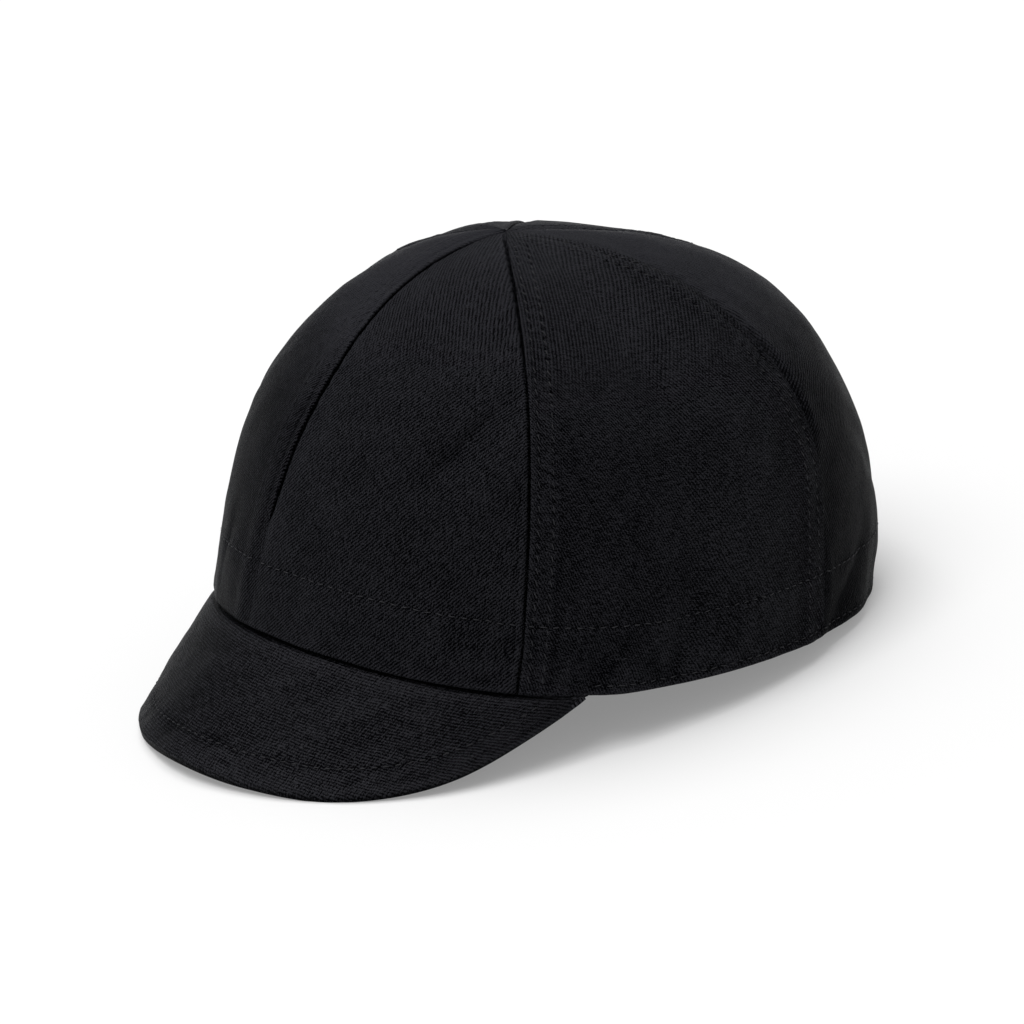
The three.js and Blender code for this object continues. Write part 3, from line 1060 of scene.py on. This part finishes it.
def lap_lines(index, sheet):
    """The rows of stitches on a panel's doubled edges."""
    lines = []
    width, up = sheet["left"][0] + sheet["right"][0], sheet["up"][0]
    sides = [("left", index), ("right", (index + 1) % len(SEAMS))]
    for value in LAP_ROWS:
        for (side, seam), doubled in zip(sides, laps(index)):
            sunk_row, sunk_below = SEWING[seam][2], SEWING[seam][5]
            sunk = sunk_row + FAINT_SUNK * (1 - above(up, sunk_below, SUNK_CHANGE))
            keep = (width > max(ROW_WIDTHS * value, LAP_ROW_ROOM)) & (up > LAP_ROW_LOWEST)
            keep = keep & (sunk < HIDDEN_SUNK)
            if doubled:
                line, normals = up_the_sheet(sheet["points"], sheet[side], value, keep)
                lines.append((line, normals, sunk[keep]))
    return lines


def round_lines(sheet):
    """A panel's part of the two rows round the crown. The one at the hem stops at the brim."""
    inside = (sheet["left"][:, 0] > 0) & (sheet["right"][:, 0] > 0)
    past_brim = inside & (sheet["open"][:, 0] > PAST_BRIM)
    rows = [(HEM_ROW, past_brim, HEM_ROW_SUNK), (FACING_ROW, inside, FACING_ROW_SUNK)]
    return [
        (*across_the_sheet(sheet["points"], sheet["up"], value, keep), sunk)
        for value, keep, sunk in rows
        if keep.any()
    ]


seam_lines = [line for index, sheet in enumerate(panels) for line in lap_lines(index, sheet)]
hem_lines = [line for sheet in panels for line in round_lines(sheet)]
keep = brim_upper["length"] > BRIM_ROW + BRIM_ROW_ROOM
brim_line = across_the_sheet(brim_upper["points"], brim_upper["edge"], BRIM_ROW, keep)
seam_stitches = sew("seam_stitches", seam_lines, STITCH_SLANT)
hem_stitches = sew("hem_stitches", hem_lines, 0)
brim_stitches = sew("brim_stitches", [(*brim_line, BRIM_ROW_SUNK)], 0)

# %% [markdown]
# ## Black cotton twill
# Twill is woven so that each thread floats over two or three others, one step further on in each
# row, which gives slanting ribs. Dyed black, the valleys between the ribs swallow the light, and
# the rubbed tops and the fuzz on them are a little greyer. The colour follows the height of the
# threads, so the valleys also get painted shade. The pattern is a sum of plain waves in the map of
# the flat cloth: the slanting ribs, the filling threads that break them up, the single yarns and,
# near the top, the upright warp threads. A slow noise shifts the waves, so no line is dead
# straight. Slubs, fuzz and rubbed patches lie over them, and so do each piece's wear and painted
# light and shade.

# %% Threads of the twill
# Real ribs are about half a millimetre apart. They are drawn coarser, in mm, because finer ones
# wouldn't show in the render at all.
RIB_PITCH = 0.86
YARN_PITCH = 0.66
WARP_PITCH = 1.05
CROSS_ANGLE = 78
# waves per mm of the stray, and how far it shifts the ribs and the warp, in radians
WANDER_SCALE = 0.13
RIB_WANDER, WARP_WANDER = 9.0, 4.0
MEAN_HEIGHT = 0.38
# how strongly each wave shows on plain cloth, and how much that changes where the cloth is gridded
RIB_GAIN, RIB_GRIDDED = 0.5, -0.2
CROSS_GAIN = 0.03
YARN_GAIN = 0.12
WARP_GAIN = 0.44
RIB_FADE_UPRIGHT = -0.8


def total(tree, start, terms):
    """start plus each term's value times its gain, where each may be a number or an output."""
    for value, gain in terms:
        inputs = {0: value, 1: gain, 2: start}
        start = add(tree, "ShaderNodeMath", inputs, operation="MULTIPLY_ADD").outputs[0]
    return start


def wave(tree, place, direction, pitch, shift):
    """A wave across the cloth with its crests square to direction."""
    a = math.radians(direction)
    scaled = (2 * math.pi * math.cos(a) / pitch, 2 * math.pi * math.sin(a) / pitch, 0)
    dot = add(tree, "ShaderNodeVectorMath", {0: place, 1: scaled}, operation="DOT_PRODUCT")
    moved = add(tree, "ShaderNodeMath", {0: dot.outputs["Value"], 1: shift}, operation="ADD")
    return add(tree, "ShaderNodeMath", {0: moved.outputs[0]}, operation="SINE").outputs[0]


def thread_heights(tree, place, rib_angle, cross_pitch, cross_gridded):
    """Height of the threads, as the sum of the four waves, from the cloth's map and attributes."""
    inputs = {"Vector": place, "Scale": WANDER_SCALE, "Detail": 3}
    wander = add(tree, "ShaderNodeTexNoise", inputs).outputs["Fac"]
    shift = total(tree, 0.0, [(wander, RIB_WANDER)])
    calm = total(tree, 0.0, [(wander, WARP_WANDER)])
    grid = add(tree, "ShaderNodeAttribute", attribute_name="grid").outputs["Fac"]
    upright = add(tree, "ShaderNodeAttribute", attribute_name="upright").outputs["Fac"]
    across_warp = add(tree, "ShaderNodeAttribute", attribute_name="across_warp").outputs["Vector"]
    rib = wave(tree, place, rib_angle, RIB_PITCH, shift)
    rib = total(tree, 0.0, [(rib, total(tree, 1.0, [(upright, RIB_FADE_UPRIGHT)]))])
    cross = wave(tree, place, rib_angle + CROSS_ANGLE, cross_pitch, shift)
    yarn = wave(tree, place, 0, YARN_PITCH, shift)
    warp = total(tree, 0.0, [(wave(tree, across_warp, 0, WARP_PITCH, calm), upright)])
    rib_gain = total(tree, RIB_GAIN, [(grid, RIB_GRIDDED)])
    cross_gain = total(tree, CROSS_GAIN, [(grid, cross_gridded)])
    waves = [(rib, rib_gain), (cross, cross_gain), (yarn, YARN_GAIN), (warp, WARP_GAIN)]
    return total(tree, MEAN_HEIGHT, waves)


print("twill ribs every", RIB_PITCH, "mm")


# %% Twill
NOISES = {
    # how many waves per mm and the detail. Slubs are thick places in a thread, drawn out along it
    "slubs": (1, 3),
    "fuzz": (2.6, 1),
    "patches": (0.06, 4),
}
SLUB_STRETCH = (1.5, 0.42, 1)
SLUB_GAIN, FUZZ_GAIN, PATCH_GAIN = 2.0, 3.0, 0.5
# how strongly wear and the painted light and shade show in the colour
PAINTED_LIGHT_AND_WEAR_GAIN = 1.6
# the colour of the rib valleys and furrows, where it stands for painted shade
NEARLY_BLACK = "010102"
COOL_WHITE = "e9f0ff"
NAP_ROUGHNESS, FUZZ_ROUGHNESS = 0.38, 0.2
NAP_SHINE = 0.007


def twill(name, light, rib_angle, cross_pitch, cross_gridded, relief, sheen):
    """Woven cotton with ribs across rib_angle, which the filling threads cross at their own pitch.
    light is the colour of the greyer rib tops, darkening to painted shade in the valleys; relief is
    the height of the ribs in mm."""
    material = bpy.data.materials.new(name)
    material.use_nodes = True
    tree = material.node_tree
    shader = tree.nodes["Principled BSDF"]
    place = add(tree, "ShaderNodeUVMap", uv_map="cloth_mm").outputs["UV"]
    along_the_ribs = {"Rotation": (0, 0, math.radians(-rib_angle)), "Scale": SLUB_STRETCH}
    drawn_out = add(tree, "ShaderNodeMapping", {"Vector": place, **along_the_ribs}).outputs["Vector"]
    uneven = {}
    for key, (scale, detail) in NOISES.items():
        where = drawn_out if key == "slubs" else place
        inputs = {"Vector": where, "Scale": scale, "Detail": detail}
        noise = add(tree, "ShaderNodeTexNoise", inputs).outputs["Fac"]
        uneven[key] = total(tree, -0.5, [(noise, 1.0)])
    height = thread_heights(tree, place, rib_angle, cross_pitch, cross_gridded)
    height = total(tree, height, [(uneven["slubs"], SLUB_GAIN), (uneven["fuzz"], FUZZ_GAIN)])
    wear_and_painted_light = add(tree, "ShaderNodeAttribute", attribute_name="wear_and_painted_light").outputs["Fac"]
    # the colour follows the height of the threads, so the rib valleys get painted shade while the
    # tops stay greyer, and random patches, wear and the piece's painted light and shade are added
    tone_and_painted_light = total(tree, 0.0, [(uneven["patches"], PATCH_GAIN), (wear_and_painted_light, PAINTED_LIGHT_AND_WEAR_GAIN)])
    tone_and_painted_light = add(tree, "ShaderNodeMath", {0: height, 1: tone_and_painted_light}, operation="ADD", use_clamp=True)
    colours = {0: tone_and_painted_light.outputs[0], 6: linear(NEARLY_BLACK), 7: linear(light)}
    colour = add(tree, "ShaderNodeMix", colours, data_type="RGBA").outputs[2]
    bump = add(tree, "ShaderNodeBump", {"Height": height, "Distance": relief * MM, "Strength": 1.0})
    tree.links.new(colour, shader.inputs["Base Color"])
    tree.links.new(bump.outputs["Normal"], shader.inputs["Normal"])
    shader.inputs["Roughness"].default_value = NAP_ROUGHNESS
    shader.inputs["Specular IOR Level"].default_value = NAP_SHINE
    shader.inputs["Specular Tint"].default_value = linear(COOL_WHITE)
    shader.inputs["Sheen Tint"].default_value = linear(COOL_WHITE)
    shader.inputs["Sheen Weight"].default_value = sheen
    shader.inputs["Sheen Roughness"].default_value = FUZZ_ROUGHNESS
    return material


# Dyed cotton gives the eye almost no shine, only grey rib tops and a faint light rim from its nap.
crown_twill = twill("black cotton twill, woven and dyed", "2b2b2f", -44, 1.08, 0.06, 0.3, 0.02)
# The brim's cloth runs across it, and rubbing has made its ribs greyer.
brim_twill = twill("black cotton twill of the brim, woven", "333337", 88, 1.0, 0.2, 0.36, 0.015)
# The facing is a thinner weave that has never seen the sun, so it is flatter and blacker.
band_twill = twill("black cotton facing, woven", "222225", -44, 1.08, 0.18, 0.2, 0.01)
print("cloths:", [made.name for made in (crown_twill, brim_twill, band_twill)])

# %% [markdown]
# ## Thread
# Spun polyester thread, dyed and waxed, is smoother than the cloth, so it has a small highlight
# where the cloth has none, and the rows read as fine grey dots.

# %% Thread
THREAD_COLOUR = "252528"
THREAD_ROUGHNESS = 0.5
THREAD_SHINE = 0.15

thread = bpy.data.materials.new("black polyester thread, spun and waxed")
thread.use_nodes = True
thread_shader = thread.node_tree.nodes["Principled BSDF"]
thread_shader.inputs["Base Color"].default_value = linear(THREAD_COLOUR)
thread_shader.inputs["Roughness"].default_value = THREAD_ROUGHNESS
thread_shader.inputs["Specular IOR Level"].default_value = THREAD_SHINE

for sheet in panels:
    sheet["piece"].data.materials.append(crown_twill)
for sheet in (brim_upper, brim_under):
    sheet["piece"].data.materials.append(brim_twill)
band.data.materials.append(band_twill)
for piece in (seam_stitches, hem_stitches, brim_stitches):
    piece.data.materials.append(thread)
print("thread on", seam_stitches.name, hem_stitches.name, brim_stitches.name)
